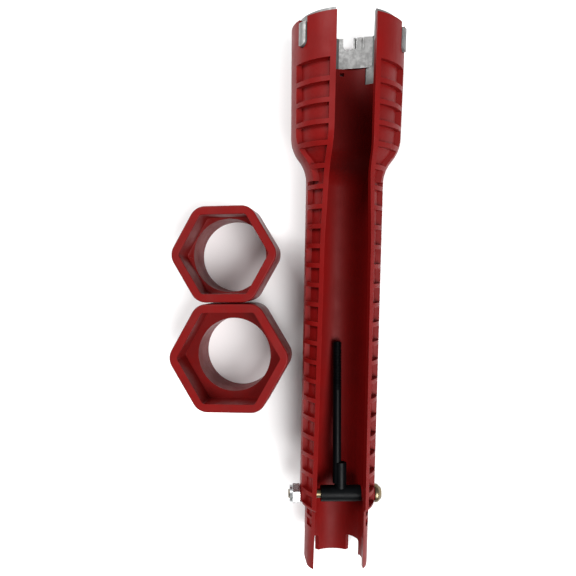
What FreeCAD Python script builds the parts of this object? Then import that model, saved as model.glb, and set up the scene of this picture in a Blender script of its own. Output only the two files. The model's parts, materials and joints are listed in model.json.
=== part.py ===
import FreeCAD, Part
import math
import os
import re
import Sketcher
from FreeCAD import Placement, Rotation, Vector

# Basin wrench: a C-section moulded handle with a cast jaw insert in its head, a hinged
# threaded rod on a cross screw near its tail, and two loose hexagonal sockets that fit the head.
# Each piece of the handle is drawn standing on its tail: Z runs up the handle's axis, the open
# side faces -Y. At the end the handle is laid on its back beside the two upright sockets.

doc = FreeCAD.newDocument("basin_wrench")
sheet = doc.addObject("Spreadsheet::Sheet", "dims")

# alias, size in millimetres (angles in degrees), what it is
SIZES = [
    ("tool_length", 280, "tail end to head rim"),
    ("tail_radius", 16.9, "outside of the narrow tail"),
    ("tube_start", 35.1, "shoulder where the tail ends and the grip tube starts"),
    ("tube_radius", 19.8, "outside of the grip tube over its ribs"),
    ("tube_end", 203.5, "end of the straight grip tube"),
    ("head_start", 226.5, "end of the neck cone"),
    ("head_back_radius", 28, "outside of the head at the neck"),
    ("head_rim_radius", 28.7, "outside of the head at its rim"),
    ("shoulder_round", 2.2, "rounding of the tail shoulder"),
    ("channel_radius", 14.6, "inside of tail and tube"),
    ("cavity_radius", 23.4, "inside of the head behind the insert"),
    ("opening_tail", 26, "width of the open side at the tail"),
    ("opening_bend", 23, "width of the open side where it starts to close in"),
    ("bend_height", 175, "height at which the open side starts to close in"),
    ("opening_head", 18.8, "width of the open side along the head"),
    ("lip_width", 2, "rim along the open side of tube and tail"),
    ("head_lip_width", 2.6, "rim along the open side of the head"),
    ("pocket_depth", 2.5, "depth of the pockets between ribs"),
    ("rib_pitch", 9.77, "spacing of the ribs"),
    ("rib_thickness", 2.2, "thickness of a rib"),
    ("head_band", 20.9, "smooth band between the last pocket and the rim"),
    ("side_web", 9, "width of the long web on each side of the tube"),
    ("head_side_web", 20, "width of the same web on the head"),
    ("back_web", 8, "width of the long web down the back"),
    ("flange", 2.4, "smooth flange at the start of the tube"),
    ("small_pocket", 4, "length of each small pocket in the tail"),
    ("small_pocket_depth", 1.1, "depth of each small pocket in the tail"),
    ("small_pocket_gap", 0.5, "gap between the shoulder and the first small pocket"),
    ("tail_pitch", 5.6, "spacing of the small pockets in the tail"),
    ("small_pocket_angle", 66, "angle of the small pockets from the open side"),
    ("small_pocket_width", 5, "width of each small pocket"),
    ("notch_depth", 10.5, "depth of the tail notches"),
    ("notch_width", 8.8, "width of the tail notches"),
    ("notch_angle", 131, "angle of the tail notches from the open side"),
    ("notch_round", 1.4, "rounding in the corners of the tail notches"),
    ("prong_round", 3.2, "outer corner taken off the tail prongs"),
    ("prong_knee", 0.3, "share of that corner where its two slopes meet"),
    ("tail_end_height", 2.5, "height of the slanting tail end at the axis"),
    ("tail_end_slant", 5.2, "slant of the tail end, which is highest at the open side"),
    ("screw_height", 39.5, "cross screw above the tail end"),
    ("boss_diameter", 8, "boss around the cross screw"),
    ("boss_proud", 0.2, "how far the boss stands out of the tube"),
    ("screw_radius", 2.4, "shank of the cross screw"),
    ("screw_play", 0.08, "gap between the screw and what it passes through"),
    ("screw_head_radius", 4.85, "pan head of the cross screw"),
    ("screw_head_height", 3.6, "height of the pan head"),
    ("pan_side", 1.6, "height of the pan head's straight side"),
    ("pan_crown_radius", 3, "radius of the flat top of the pan head"),
    ("pan_round", 1.45, "rounding of the pan head"),
    ("screw_tip_bevel", 0.4, "bevel on the screw's tip"),
    ("recess_width", 1, "arm width of the cross recess"),
    ("recess_reach", 5, "arm to arm size of the cross recess"),
    ("recess_depth", 1.9, "depth of the cross recess"),
    ("face_gap", 0.05, "gap between two faces that bear on each other"),
    ("nut_flats", 9.6, "across flats of the lock nut"),
    ("nut_height", 3.9, "hexagonal part of the lock nut"),
    ("nut_collar", 1.5, "collar of the lock nut that holds the ring"),
    ("nut_chamfer", 0.5, "chamfer on the nut's corners"),
    ("ring_radius", 3.7, "outside of the locking ring"),
    ("ring_cover", 0.35, "lip of the collar over the locking ring"),
    ("screw_tip", 0.6, "how far the screw stands out of the nut"),
    ("barrel_radius", 4.25, "cross barrel of the tee"),
    ("barrel_length", 21.2, "length of the cross barrel"),
    ("barrel_gap", 2.2, "gap between the barrel and the inner bosses on each side"),
    ("tee_shift", 1.9, "how far the tee has slid along the screw towards its head"),
    ("stem_radius", 3.3, "stem sleeve of the tee"),
    ("stem_length", 16.2, "stem end from the cross screw"),
    ("stem_hole_depth", 11, "depth of the rod's seat in the stem"),
    ("rod_radius", 2.3, "plain part of the rod"),
    ("rod_reach", 81, "rod tip from the cross screw"),
    ("thread_radius", 2.5, "threaded end of the rod"),
    ("thread_length", 26.5, "length of the threaded end"),
    ("thread_lead_in", 0.8, "bevel on the rod's tip"),
    ("rod_clearance", 0.35, "gap between the stowed rod and the channel's back"),
    ("insert_radius", 25.4, "outside of the jaw insert"),
    ("insert_fit", 0.08, "gap between the insert and its seat"),
    ("insert_corner", 24.2, "corner radius of the insert's octagonal hole"),
    ("insert_base", 269, "lower edge of the insert"),
    ("insert_proud", 2.6, "insert standing out of the head rim"),
    ("crown_proud", 5.4, "back crown of the insert standing out of the rim"),
    ("crown_front", 4, "how far the crown starts behind the axis"),
    ("insert_turn", 2.3, "turn of the insert about the axis against the open side"),
    ("jaw_notch_width", 5.6, "width of each notch at the back of the insert"),
    ("jaw_notch_depth", 6.4, "depth of those notches"),
    ("jaw_notch_angle", 12, "angle of the notches from the middle of the back"),
    ("key_angle", 152.6, "angle of the middle of each pair of key grooves"),
    ("key_spacing", 3.7, "distance between the two grooves of a pair"),
    ("key_width", 0.9, "width of a key groove"),
    ("key_depth", 0.8, "depth of a key groove"),
    ("key_length", 6, "length of a key groove"),
    ("bar_angle", 60, "angle of the insert's bars from the open side"),
    ("bar_width", 5.2, "width of a bar"),
    ("bar_radius", 30, "crest of the bars' round outer face"),
    ("bar_curve", 4.2, "radius of that round face"),
    ("bar_base", 266.6, "lower end of the bars"),
    ("bar_slot_gap", 0.5, "gap around a bar in its slot"),
    ("bar_set_back", 2.4, "top of the bars below the head rim"),
    ("leg_angle", 135.5, "angle of the insert's legs from the open side"),
    ("leg_width", 6.6, "width of a leg"),
    ("leg_base", 260, "lower end of the legs"),
    ("leg_thickness", 1.7, "thickness of a leg"),
    ("window_height", 266, "middle of the window behind the insert"),
    ("window_offset", 0.9, "window to the side of the middle of the back"),
    ("window_width", 2.4, "width of the window"),
    ("window_length", 1.8, "length of the window"),
    ("socket_height", 38, "overall height of each socket"),
    ("hex_height", 20, "height of a socket's hexagonal body"),
    ("pocket_height", 16.3, "depth of a socket's hexagonal mouth"),
    ("hex_wall", 4.4, "wall of the hexagonal bodies"),
    ("small_flats", 49.6, "across flats of the small socket"),
    ("large_flats", 56, "across flats of the large socket"),
    ("hex_round", 8.5, "rounding of the outer corners"),
    ("hex_inner_round", 2, "rounding of the inner corners"),
    ("rim_round", 0.8, "rounding of the mouth's rim"),
    ("spigot_clearance", 0.3, "gap between a socket's lugs and the insert's flats"),
    ("lug_height", 0.8, "how far the lugs stand out of the spigot"),
    ("lug_width", 5, "width of a lug"),
    ("lug_length", 10, "length of a lug from the foot"),
    ("socket_bore", 19.8, "radius of the hole through a socket's foot"),
    ("small_x", -60.7, "small socket's place beside the handle"),
    ("small_y", 165.5, "small socket's place along the handle"),
    ("large_x", -57, "large socket's place beside the handle"),
    ("large_y", 112, "large socket's place along the handle"),
    ("socket_turn", 2, "turn of the sockets about their own axis"),
    ("lie_roll", 9.7, "roll of the handle where it lies"),
]

ALIASES = [alias for alias, size, meaning in SIZES]
for row, (alias, size, meaning) in enumerate(SIZES, start=1):
    sheet.set(f"A{row}", meaning)
    sheet.set(f"B{row}", str(size))
    sheet.setAlias(f"B{row}", alias)
doc.recompute()

# Sizes that follow from the sheet, as expressions that the objects are bound to.
RIM = "tool_length"
BAND_START = "(tool_length - head_band)"
NUT_FACE = "(tube_radius + boss_proud + face_gap)"
NUT_END = f"({NUT_FACE} + nut_height + nut_collar)"
INNER_BOSS = "(barrel_length / 2 + barrel_gap)"
SCREW_HOLE = "(screw_radius + screw_play)"
SEAT_RADIUS = "(insert_radius + insert_fit)"
INSERT_TOP = "(tool_length + insert_proud)"
CROWN_TOP = "(tool_length + crown_proud)"
FLATS_RADIUS = "(insert_corner * cos(22.5 deg))"
LUG_RADIUS = f"({FLATS_RADIUS} - spigot_clearance)"
SPIGOT_RADIUS = f"({LUG_RADIUS} - lug_height)"
PAST = 1.0      # how far a cutting tool runs past what it cuts
WIDE = "(2 * head_rim_radius + 8)"


def cells(expression):
    """The expression with every alias written as a reference to the sheet."""
    pattern = r"\b(" + "|".join(ALIASES) + r")\b"
    return re.sub(pattern, r"dims.\1", str(expression))


def value(expression):
    """The number that an expression gives now."""
    return float(sheet.evalExpression(cells(expression)))


def bind(item, **sizes):
    """Binds properties of an object to expressions; x, y and z stand for its place."""
    for name, expression in sizes.items():
        path = f"Placement.Base.{name}" if name in ("x", "y", "z") else name
        item.setExpression(path, cells(expression))
    return item


def box(name, length, width, height, x="0", y="0", z="0"):
    """A box centred on x and y that stands on z."""
    item = doc.addObject("Part::Box", name)
    bind(item, Length=length, Width=width, Height=height)
    return bind(item, x=f"{x} - ({length}) / 2", y=f"{y} - ({width}) / 2", z=z)


def rod_between(name, radius, start, length, axis="z", height="0"):
    """A cylinder that starts at start, up the Z axis or across at a height along X."""
    item = doc.addObject("Part::Cylinder", name)
    bind(item, Radius=radius, Height=length)
    if axis == "x":
        item.Placement = Placement(Vector(), Rotation(Vector(0, 1, 0), 90))
        return bind(item, x=start, z=height)
    return bind(item, z=start)


def fuse(name, pieces):
    item = doc.addObject("Part::MultiFuse", name)
    item.Shapes = pieces
    return item


def common(name, pieces):
    item = doc.addObject("Part::MultiCommon", name)
    item.Shapes = pieces
    return item


def cut(name, base, tool):
    item = doc.addObject("Part::Cut", name)
    item.Base = base
    item.Tool = tool
    return item


def turned_about_axis(name, item, angle):
    """A copy of a shape turned about the Z axis, away from the open side (-Y), by an angle."""
    turned = doc.addObject("Part::Compound", name)
    turned.Links = [item]
    turned.Placement = Placement(Vector(), Rotation(Vector(0, 0, 1), angle))
    return turned


def origin_plane(body, role):
    return [plane for plane in body.Origin.OriginFeatures if plane.Role == role][0]


def curved_side(start, end, centre_height):
    """The shorter arc between two points with its centre at a height, and whether start is its start."""
    rise = (end.y - centre_height) ** 2 - (start.y - centre_height) ** 2
    across = (end.x ** 2 - start.x ** 2 + rise) / (2 * (end.x - start.x))
    centre = Vector(across, centre_height, 0)
    first = math.atan2(start.y - centre.y, start.x - centre.x)
    last = math.atan2(end.y - centre.y, end.x - centre.x)
    sweep = (last - first) % (2 * math.pi)
    runs_on = sweep < math.pi
    circle = Part.Circle(centre, Vector(0, 0, 1), (start - centre).Length)
    if runs_on:
        return Part.ArcOfCircle(circle, first, first + sweep), runs_on
    return Part.ArcOfCircle(circle, last, last + 2 * math.pi - sweep), runs_on


def outline(body, name, role, points):
    """A closed sketch whose corners are bound to pairs of expressions.

    A point with a third expression starts an arc, whose centre is at that height.
    """
    sketch = body.newObject("Sketcher::SketchObject", name)
    sketch.AttachmentSupport = [(origin_plane(body, role), "")]
    sketch.MapMode = "FlatFace"
    corners = [Vector(value(point[0]), value(point[1]), 0) for point in points]
    count = len(corners)
    ends = []
    for index, start in enumerate(corners):
        end = corners[(index + 1) % count]
        side = Part.LineSegment(start, end)
        runs_on = True
        if len(points[index]) == 3:
            side, runs_on = curved_side(start, end, value(points[index][2]))
        sketch.addGeometry(side, False)
        ends.append((1, 2) if runs_on else (2, 1))
    for index in range(count):
        following = (index + 1) % count
        sketch.addConstraint(Sketcher.Constraint(
            "Coincident", index, ends[index][1], following, ends[following][0]))
    for index, point in enumerate(points):
        measured = [("DistanceX", ends[index][0], point[0]), ("DistanceY", ends[index][0], point[1])]
        measured += [("DistanceY", 3, height) for height in point[2:]]
        for kind, place, expression in measured:
            number = sketch.addConstraint(
                Sketcher.Constraint(kind, -1, 1, index, place, value(expression)))
            sketch.setExpression(f"Constraints[{number}]", cells(expression))
    return sketch


def lathed(name, points):
    """A body turned about Z from points given as (radius, height)."""
    body = doc.addObject("PartDesign::Body", name)
    profile = outline(body, f"{name}_profile", "XZ_Plane", points)
    turn = body.newObject("PartDesign::Revolution", f"{name}_turn")
    turn.Profile = profile
    turn.ReferenceAxis = (profile, ["V_Axis"])
    turn.Angle = 360
    body.Tip = turn
    doc.recompute()
    return body


def plate(name, points, start, length):
    """A body whose outline is given as (x, z), from y = start towards the open side."""
    body = doc.addObject("PartDesign::Body", name)
    profile = outline(body, f"{name}_outline", "XZ_Plane", points)
    bind(profile, **{"AttachmentOffset.Base.z": f"-({start})"})
    pad = body.newObject("PartDesign::Pad", f"{name}_pad")
    pad.Profile = profile
    bind(pad, Length=length)
    body.Tip = pad
    doc.recompute()
    return body


def round_edges(body, name, radius, wanted):
    """Rounds those edges of a body for which wanted(edge) is true."""
    names = [f"Edge{number}" for number, edge in enumerate(body.Shape.Edges, start=1) if wanted(edge)]
    sharp = body.Tip
    rounding = body.newObject("PartDesign::Fillet", name)
    rounding.Base = (sharp, names)
    bind(rounding, Radius=radius)
    body.Tip = rounding
    doc.recompute()
    return body


def ring_edge(height, radius):
    """A test for the full circle at a height with a radius."""
    def wanted(edge):
        same_height = abs(edge.BoundBox.ZMin - value(height)) < 1e-4 and edge.BoundBox.ZLength < 1e-4
        return same_height and abs(edge.BoundBox.XMax - value(radius)) < 1e-4
    return wanted


def upright_edge(edge):
    return edge.BoundBox.XLength < 1e-4 and edge.BoundBox.YLength < 1e-4


# ---- the moulded handle ----

def handle_solid(name, depth):
    """The handle's outside turned solid, sunk by depth everywhere but on the tail."""
    tube = f"(tube_radius - {depth})"
    head_back = f"(head_back_radius - {depth})"
    return lathed(name, [
        ("0", "0"), ("tail_radius", "0"), ("tail_radius", "tube_start"), (tube, "tube_start"),
        (tube, "tube_end", "tube_end"),
        (f"({tube} + {head_back}) / 2", "(tube_end + head_start) / 2", "head_start"),
        (head_back, "head_start"), (f"head_rim_radius - {depth}", RIM), ("0", RIM)])


def open_side(name, rim):
    """The prism of the open side, wider by a rim on each side; rim is a pair for tube and head."""
    tube_rim, head_rim = rim
    right = [(f"opening_tail / 2 + {tube_rim}", f"-{PAST}"),
             (f"opening_bend / 2 + {tube_rim}", "bend_height"),
             (f"opening_head / 2 + {head_rim}", "head_start"),
             (f"opening_head / 2 + {head_rim}", f"{CROWN_TOP} + {PAST}")]
    left = [(f"-({across})", height) for across, height in reversed(right)]
    return plate(name, right + left, "0", WIDE)


def rib_and_web_zone():
    """Everywhere that the handle keeps its full outside: ribs, webs, rims and smooth bands."""
    first = value("screw_height + boss_diameter / 2")
    count = int((value(BAND_START) - first) / value("rib_pitch"))
    zones = []
    for number in range(1, count + 1):
        height = f"{BAND_START} - {number} * rib_pitch - rib_thickness / 2"
        zones.append(box(f"rib_{number}", WIDE, WIDE, "rib_thickness", z=height))
    zones.append(box("head_band_zone", WIDE, WIDE, f"head_band + {PAST}", z=BAND_START))
    zones.append(box("flange_zone", WIDE, WIDE, f"flange + {PAST}", z=f"tube_start - {PAST}"))
    zones.append(box("side_webs", WIDE, "side_web", RIM))
    zones.append(box("head_side_webs", WIDE, "head_side_web", f"{RIM} - tube_end", z="tube_end"))
    zones.append(box("back_web_zone", "back_web", "head_rim_radius", RIM, y="head_rim_radius / 2"))
    zones.append(open_side("rims", ("lip_width", "head_lip_width")))
    return fuse("kept_zone", zones)


def inside_of_handle():
    """Channel, neck, cavity and the seat of the insert, as one turned core."""
    return lathed("inside", [
        ("0", f"-{PAST}"), ("channel_radius", f"-{PAST}"), ("channel_radius", "tube_end", "tube_end"),
        ("(channel_radius + cavity_radius) / 2", "(tube_end + head_start) / 2", "head_start"),
        ("cavity_radius", "head_start"), ("cavity_radius", "insert_base"), (SEAT_RADIUS, "insert_base"),
        (SEAT_RADIUS, f"{RIM} + {PAST}"), ("0", f"{RIM} + {PAST}")])


def insert_angle(angle, sign):
    """An angle on one side of the insert, which sits slightly turned in the head."""
    return sign * value(angle) + value("insert_turn")


def bar_slots():
    """The two U slots in the head that the insert's bars lie in."""
    width = "bar_width + 2 * bar_slot_gap"
    foot = f"bar_base - bar_slot_gap + ({width}) / 2"
    slots = []
    for side, sign in (("left", -1), ("right", 1)):
        slot = box(f"bar_slot_{side}", width, "head_rim_radius", f"{RIM} + {PAST} - ({foot})",
                   y="-(cavity_radius + head_rim_radius / 2)", z=foot)
        end = doc.addObject("Part::Cylinder", f"bar_slot_end_{side}")
        end.Placement = Placement(Vector(), Rotation(Vector(1, 0, 0), 90))
        bind(end, Radius=f"({width}) / 2", Height="head_rim_radius", y="-cavity_radius", z=foot)
        both = fuse(f"bar_slot_shape_{side}", [slot, end])
        slots.append(turned_about_axis(f"bar_slot_turned_{side}", both, insert_angle("bar_angle", sign)))
    return slots


def leg_seats():
    seats = []
    for side, sign in (("left", -1), ("right", 1)):
        reach = f"{SEAT_RADIUS} - insert_corner + leg_thickness"
        seat = box(f"leg_seat_{side}", "leg_width + 4 * insert_fit", reach,
                   f"insert_base - leg_base + insert_fit + {PAST}",
                   y=f"-({SEAT_RADIUS} - ({reach}) / 2)", z="leg_base - insert_fit")
        seats.append(turned_about_axis(f"leg_seat_turned_{side}", seat, insert_angle("leg_angle", sign)))
    return seats


def tail_notches():
    notches = []
    for side, sign in (("left", -1), ("right", 1)):
        notch = doc.addObject("PartDesign::Body", f"notch_{side}")
        profile = outline(notch, f"notch_outline_{side}", "XZ_Plane", [
            ("-notch_width / 2", f"-{PAST}"), ("notch_width / 2", f"-{PAST}"),
            ("notch_width / 2", "notch_depth"), ("-notch_width / 2", "notch_depth")])
        pad = notch.newObject("PartDesign::Pad", f"notch_pad_{side}")
        pad.Profile = profile
        bind(pad, Length="2 * tail_radius")
        notch.Tip = pad
        doc.recompute()
        root = value("notch_depth")
        round_edges(notch, f"notch_round_{side}", "notch_round",
                    lambda edge: edge.BoundBox.YLength > 1 and abs(edge.BoundBox.ZMax - root) < 1e-4
                    and edge.BoundBox.XLength < 1e-4)
        notches.append(turned_about_axis(f"notch_turned_{side}", notch, sign * value("notch_angle")))
    return notches


def small_pockets():
    pockets = []
    for side, sign in (("left", -1), ("right", 1)):
        for number in (1, 2):
            pocket = box(f"small_pocket_{side}_{number}", "small_pocket_width", "tail_radius",
                         "small_pocket", y="-(1.5 * tail_radius - small_pocket_depth)",
                         z=f"tube_start - {number - 1} * tail_pitch - small_pocket - small_pocket_gap")
            turned = turned_about_axis(f"small_pocket_turned_{side}_{number}", pocket,
                                       sign * value("small_pocket_angle"))
            pockets.append(turned)
    return pockets


def tail_end_cut():
    """Everything below the tail's slanting end."""
    below = box("below_tail_end", WIDE, WIDE, WIDE, z=f"-({WIDE})")
    slanted = doc.addObject("Part::Compound", "slanted_tail_end")
    slanted.Links = [below]
    slanted.Placement = Placement(Vector(), Rotation(Vector(1, 0, 0), -value("tail_end_slant")))
    return bind(slanted, z="tail_end_height")


def prong_roundings():
    """Plates that take the outer corner off each tail prong in two slopes."""
    knee = "(prong_round * prong_knee)"
    past_tip = f"(tail_end_height + prong_round + {PAST} * (1 / prong_knee - 1))"
    plates = []
    for side, sign in (("left", "-"), ("right", "")):
        inner = f"{sign}(tail_radius - prong_round)"
        beyond = f"{sign}(tail_radius + {PAST})"
        plates.append(plate(f"prong_rounding_{side}", [
            (inner, "tail_end_height"), (f"{sign}(tail_radius - {knee})", f"tail_end_height + {knee}"),
            (beyond, past_tip), (beyond, f"-{PAST}"), (inner, f"-{PAST}")],
            "tail_radius / 2", "2 * tail_radius"))
    return plates


def make_handle():
    outer = handle_solid("outer_solid", "0")
    round_edges(outer, "shoulder_rounding", "shoulder_round", ring_edge("tube_start", "tube_radius"))
    core = handle_solid("core_solid", "pocket_depth")
    kept = common("ribs_and_webs", [outer, rib_and_web_zone()])
    boss_length = "2 * (tube_radius + boss_proud)"
    boss = rod_between("screw_boss", "boss_diameter / 2", f"-({boss_length}) / 2", boss_length,
                       axis="x", height="screw_height")
    span = "(channel_radius + tail_radius)"
    inner = rod_between("inner_boss", "boss_diameter / 2", f"-({span}) / 2", span,
                        axis="x", height="screw_height")
    between = box("between_inner_bosses", f"2 * {INNER_BOSS}", WIDE, RIM)
    space = cut("inside_space", inside_of_handle(), cut("inner_bosses", inner, between))
    hollow = cut("hollow_handle", fuse("handle_blank", [core, kept, boss]), space)
    hole = rod_between("screw_hole", SCREW_HOLE, f"-({WIDE}) / 2", WIDE, axis="x", height="screw_height")
    window = box("window_cut", "window_width", "head_rim_radius", "window_length",
                 x="window_offset", y="head_rim_radius", z="window_height - window_length / 2")
    opened = cut("opened_handle", hollow, open_side("open_side_cut", ("0", "0")))
    cutters = [hole, window] + bar_slots() + leg_seats() + tail_notches()
    cutters += small_pockets() + prong_roundings() + [tail_end_cut()]
    return cut("handle", opened, fuse("handle_cutters", cutters))


# ---- the cast jaw insert ----

def jaw_notches():
    """Two U notches beside the middle of the insert's back."""
    centre = f"{CROWN_TOP} - jaw_notch_depth + jaw_notch_width / 2"
    notches = []
    for side, sign in (("left", 1), ("right", -1)):
        upper = box(f"jaw_notch_{side}", "jaw_notch_width", "insert_radius", "2 * jaw_notch_depth",
                    y="insert_radius", z=centre)
        end = doc.addObject("Part::Cylinder", f"jaw_notch_end_{side}")
        end.Placement = Placement(Vector(), Rotation(Vector(1, 0, 0), -90))
        bind(end, Radius="jaw_notch_width / 2", Height="insert_radius", y="insert_radius / 2", z=centre)
        notch = fuse(f"jaw_notch_shape_{side}", [upper, end])
        notches.append(turned_about_axis(f"jaw_notch_turned_{side}", notch,
                                         insert_angle("jaw_notch_angle", sign)))
    return notches


def make_insert():
    ring = rod_between("insert_ring", "insert_radius", "insert_base", f"{CROWN_TOP} - insert_base")
    front = box("crown_front_cut", WIDE, WIDE, WIDE, y=f"crown_front - ({WIDE}) / 2", z=INSERT_TOP)
    crowned = cut("crowned_ring", ring, front)
    octagon = doc.addObject("Part::Prism", "octagonal_hole")
    octagon.Polygon = 8
    octagon.Placement = Placement(Vector(), Rotation(Vector(0, 0, 1), value("insert_turn")))
    bind(octagon, Circumradius="insert_corner", Height=WIDE, z=f"insert_base - {PAST}")
    cutters = [octagon, open_side("insert_opening", ("0", "0"))] + jaw_notches()
    blank = [cut("octagonal_ring", crowned, fuse("insert_cutters", cutters))]
    grooves = []
    for side, sign in (("left", -1), ("right", 1)):
        for number, across in ((1, "-key_spacing / 2"), (2, "key_spacing / 2")):
            groove = box(f"key_groove_{side}_{number}", "key_width", "2 * key_depth", "2 * key_length",
                         x=across, y=f"-{FLATS_RADIUS}", z=f"{CROWN_TOP} - key_length")
            grooves.append(turned_about_axis(f"key_groove_turned_{side}_{number}", groove,
                                             insert_angle("key_angle", sign)))
        bar = bar_piece(side)
        blank.append(turned_about_axis(f"bar_turned_{side}", bar, insert_angle("bar_angle", sign)))
        leg = box(f"leg_{side}", "leg_width", "leg_thickness", f"insert_base - leg_base + {PAST}",
                  y="-(insert_radius - leg_thickness / 2)", z="leg_base")
        limit = rod_between(f"leg_limit_{side}", "insert_radius", "leg_base", WIDE)
        round_leg = common(f"leg_shape_{side}", [leg, limit])
        blank.append(turned_about_axis(f"leg_turned_{side}", round_leg, insert_angle("leg_angle", sign)))
    return cut("insert", fuse("insert_blank", blank), fuse("key_grooves", grooves))


def bar_piece(side):
    """One radial bar with a round lower end and a round outer face that bulges outwards."""
    foot = "bar_base + bar_width / 2"
    inner = "(insert_radius - leg_thickness / 2)"
    reach = f"(bar_radius - {inner})"
    upright = box(f"bar_upright_{side}", "bar_width", reach, f"{RIM} - bar_set_back - ({foot})",
                  y=f"-({inner} + {reach} / 2)", z=foot)
    end = doc.addObject("Part::Cylinder", f"bar_end_{side}")
    end.Placement = Placement(Vector(), Rotation(Vector(1, 0, 0), 90))
    bind(end, Radius="bar_width / 2", Height=reach, y=f"-{inner}", z=foot)
    face = bind(rod_between(f"bar_face_{side}", "bar_curve", "bar_base", WIDE), y="bar_curve - bar_radius")
    return common(f"bar_{side}", [fuse(f"bar_blank_{side}", [upright, end]), face])


# ---- screw, nut and ring: drawn along their own Z, which becomes the cross axis ----

def make_screw():
    """Pan head screw: Z points from the tip to the head, zero on the handle's axis."""
    under = NUT_FACE
    top = f"{under} + screw_head_height"
    side_top = f"{under} + pan_side"
    screw = lathed("screw_blank", [
        ("0", f"-({NUT_END} + screw_tip)"), ("screw_radius - screw_tip_bevel", f"-({NUT_END} + screw_tip)"),
        ("screw_radius", f"-{NUT_END}"), ("screw_radius", under), ("screw_head_radius", under),
        ("screw_head_radius", side_top), ("pan_crown_radius", top), ("0", top)])
    round_edges(screw, "pan_rounding", "pan_round", ring_edge(side_top, "screw_head_radius"))
    floor = f"{top} - recess_depth"
    arms = [box("recess_arm_1", "recess_reach", "recess_width", "2 * recess_depth", z=floor),
            box("recess_arm_2", "recess_width", "recess_reach", "2 * recess_depth", z=floor)]
    return cut("screw", screw, fuse("recess", arms))


def make_nut():
    """Lock nut: Z points out of the handle, zero on the handle's axis."""
    prism = doc.addObject("Part::Prism", "nut_hexagon")
    prism.Polygon = 6
    bind(prism, Circumradius="nut_flats / 2 / cos(30 deg)", Height="nut_height", z=NUT_FACE)
    corner = "nut_flats / 2 / cos(30 deg)"
    limit = lathed("nut_limit", [
        ("0", NUT_FACE), (f"{corner} - nut_chamfer", NUT_FACE), (corner, f"{NUT_FACE} + nut_chamfer / 2"),
        (corner, f"{NUT_FACE} + nut_height - nut_chamfer / 2"),
        (f"{corner} - nut_chamfer", f"{NUT_FACE} + nut_height"), ("0", f"{NUT_FACE} + nut_height")])
    collar = rod_between("nut_collar_blank", "nut_flats / 2 - ring_cover", NUT_FACE,
                         "nut_height + nut_collar")
    blank = fuse("nut_blank", [common("nut_body", [prism, limit]), collar])
    bore = rod_between("nut_bore", SCREW_HOLE, f"{NUT_FACE} - {PAST}", WIDE)
    groove = rod_between("nut_ring_seat", "ring_radius", f"{NUT_FACE} + nut_height",
                         "nut_collar - ring_cover")
    return cut("nut", blank, fuse("nut_cutters", [bore, groove]))


def make_ring():
    outer = rod_between("ring_blank", "ring_radius - face_gap", f"{NUT_FACE} + nut_height + face_gap",
                        "nut_collar - ring_cover - 2 * face_gap")
    hole = rod_between("ring_hole", SCREW_HOLE, f"{NUT_FACE}", WIDE)
    return cut("ring", outer, hole)


# ---- tee and rod: drawn upright with the cross screw's axis through the origin ----

def make_tee():
    barrel = rod_between("barrel", "barrel_radius", "-barrel_length / 2", "barrel_length", axis="x")
    stem = rod_between("stem", "stem_radius", "0", "stem_length")
    bore = rod_between("barrel_bore", SCREW_HOLE, f"-({WIDE}) / 2", WIDE, axis="x")
    seat = rod_between("rod_seat", "rod_radius", "stem_length - stem_hole_depth", WIDE)
    return cut("tee", fuse("tee_blank", [barrel, stem]), fuse("tee_cutters", [bore, seat]))


def make_rod():
    return lathed("rod", [
        ("0", "stem_length - stem_hole_depth"), ("rod_radius", "stem_length - stem_hole_depth"),
        ("rod_radius", "rod_reach - thread_length"), ("thread_radius", "rod_reach - thread_length"),
        ("thread_radius", "rod_reach - thread_lead_in"), ("thread_radius - thread_lead_in", "rod_reach"),
        ("0", "rod_reach")])


# ---- the two sockets ----

def rounded_hexagon(name, flats, start, height, rounding):
    """A hexagonal prism with a corner towards +X and rounded upright edges."""
    body = doc.addObject("PartDesign::Body", name)
    corner = f"(({flats}) / 2 / cos(30 deg))"
    points = [(f"{corner} * cos({60 * side} deg)", f"{corner} * sin({60 * side} deg)") for side in range(6)]
    sketch = outline(body, f"{name}_outline", "XY_Plane", points)
    bind(sketch, **{"AttachmentOffset.Base.z": start})
    pad = body.newObject("PartDesign::Pad", f"{name}_pad")
    pad.Profile = sketch
    bind(pad, Length=height)
    body.Tip = pad
    doc.recompute()
    return round_edges(body, f"{name}_rounding", rounding, upright_edge)


def make_socket(size, flats):
    """A hexagonal box socket on a round spigot with six lugs; it stands on the spigot's foot."""
    hexagon = rounded_hexagon(f"{size}_hexagon", flats, "socket_height - hex_height", "hex_height",
                              "hex_round")
    top = value("socket_height")
    round_edges(hexagon, f"{size}_rim_rounding", "rim_round",
                lambda edge: abs(edge.BoundBox.ZMin - top) < 1e-4 and edge.BoundBox.ZLength < 1e-4)
    spigot = rod_between(f"{size}_spigot", SPIGOT_RADIUS, "0", f"socket_height - hex_height + {PAST}")
    lugs = [box(f"{size}_lug_arm_{number}", f"2 * {LUG_RADIUS} + {PAST}", "lug_width", "lug_length")
            for number in range(3)]
    for number, arm in enumerate(lugs):
        lugs[number] = turned_about_axis(f"{size}_lug_turned_{number}", arm, 60 * number)
    lug_ring = rod_between(f"{size}_lug_limit", LUG_RADIUS, "0", "lug_length")
    lug_set = common(f"{size}_lugs", [fuse(f"{size}_lug_arms", lugs), lug_ring])
    blank = fuse(f"{size}_blank", [hexagon, spigot, lug_set])
    mouth = rounded_hexagon(f"{size}_mouth", f"{flats} - 2 * hex_wall", "socket_height - pocket_height",
                            f"pocket_height + {PAST}", "hex_inner_round")
    bore = rod_between(f"{size}_bore", "socket_bore", f"-{PAST}", "socket_height")
    return cut(f"{size}_socket", blank, fuse(f"{size}_cutters", [mouth, bore]))


# ---- where everything lies ----

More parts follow.
